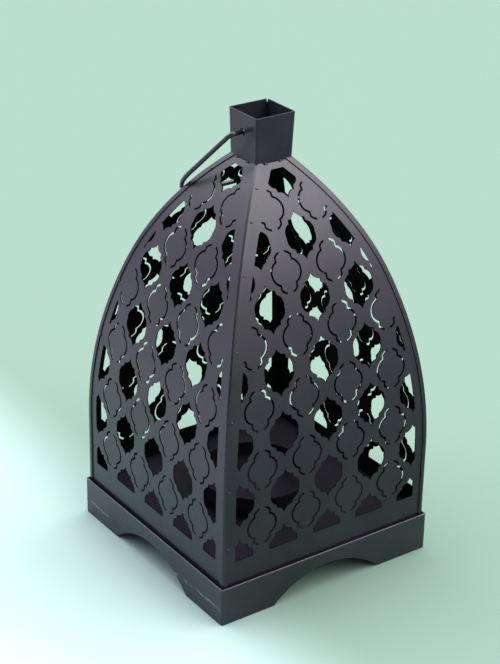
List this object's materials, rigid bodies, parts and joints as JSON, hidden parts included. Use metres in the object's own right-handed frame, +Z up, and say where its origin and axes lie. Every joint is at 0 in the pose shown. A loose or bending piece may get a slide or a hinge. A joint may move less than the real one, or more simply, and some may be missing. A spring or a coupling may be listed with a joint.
{
  "type": "lantern",
  "caption": "Square domed metal candle lantern: pierced curved panels on a low arched base, open square neck and a wire bail handle.",
  "frame": {"origin": "on the ground under the middle of the base", "axes": "+Z up, front towards -Y, the bail turns about X"},
  "size_m": [0.17, 0.17, 0.3101],
  "materials": {
    "panel_paint": "semi-matte near-black paint on pierced sheet steel",
    "strip_paint": "semi-matte near-black paint, edges rubbed lighter",
    "weld_paint": "painted-over weld, lumpy",
    "base_paint": "semi-matte near-black paint with light scratches",
    "inside_paint": "matt near-black paint",
    "rivet_steel": "painted steel rivet",
    "neck_paint": "semi-matte near-black paint on folded sheet",
    "wire_paint": "semi-gloss black paint on steel wire"
  },
  "bodies": {
    "base": {"skirt_front": "base_paint", "skirt_right": "base_paint", "skirt_back": "base_paint", "skirt_left": "base_paint", "skirt_corner_welds": "weld_paint", "floor_tray": "inside_paint", "tray_welds": "weld_paint", "candle_dish": "inside_paint", "dish_rivet": "rivet_steel"},
    "dome": {"lattice_panel_front": "panel_paint", "lattice_panel_right": "panel_paint", "lattice_panel_back": "panel_paint", "lattice_panel_left": "panel_paint", "corner_strip_front_right": "strip_paint", "corner_strip_back_right": "strip_paint", "corner_strip_back_left": "strip_paint", "corner_strip_front_left": "strip_paint", "tack_welds_front_right": "weld_paint", "tack_welds_back_right": "weld_paint", "tack_welds_back_left": "weld_paint", "tack_welds_front_left": "weld_paint", "neck": "neck_paint", "neck_welds": "weld_paint"},
    "bail": {"bail_handle": "wire_paint"}
  },
  "joints": [
    {"name": "body_lift", "type": "slide", "parent": "base", "child": "dome", "axis": [0, 0, 1], "range_m": [0, 0.2]},
    {"name": "bail_swing", "type": "hinge", "parent": "dome", "child": "bail", "pos_m": [0, 0, 0.2975], "axis": [1, 0, 0], "range_deg": [0, 276]}
  ]
}
